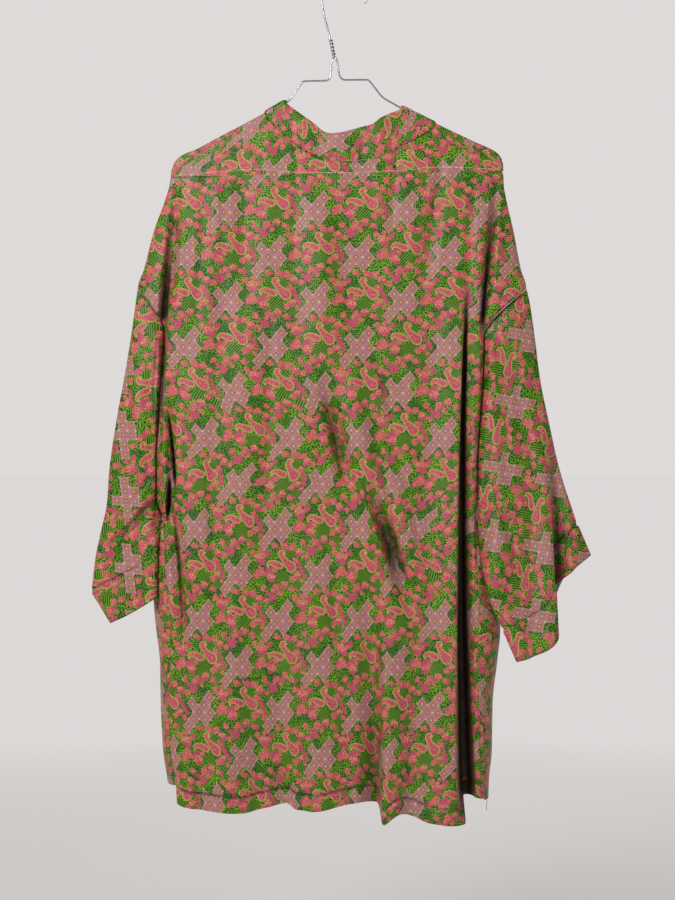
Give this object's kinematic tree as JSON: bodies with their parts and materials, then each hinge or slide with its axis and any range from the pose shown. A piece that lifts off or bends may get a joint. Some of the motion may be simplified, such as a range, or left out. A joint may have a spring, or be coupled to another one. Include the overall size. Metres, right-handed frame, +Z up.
{
  "type": "kimono jacket on a wire hanger",
  "caption": "Short silk kimono jacket with wide three-quarter sleeves, cuff bands and a long neckband, hanging from a bent wire hanger.",
  "frame": {"origin": "inside the top of the hanger's hook, where a rail bears", "axes": "+Z up; the jacket's open front faces +Y and its back faces -Y; +X runs to the wearer's right, across the shoulders"},
  "size_m": [0.6493, 0.0961, 1.1124],
  "materials": {
    "silk": "soft satin sheen, printed with paisleys, flowers and leaves on green",
    "band_silk": "the same printed silk, doubled",
    "hanger_wire": "bright zinc-plated wire"
  },
  "bodies": {
    "root": {"back_yoke": "silk", "back": "silk", "front_left": "silk", "front_right": "silk", "neckband": "band_silk", "sleeve_left": "silk", "sleeve_right": "silk", "cuff_left": "band_silk", "cuff_right": "band_silk", "hanger": "hanger_wire"}
  },
  "joints": []
}
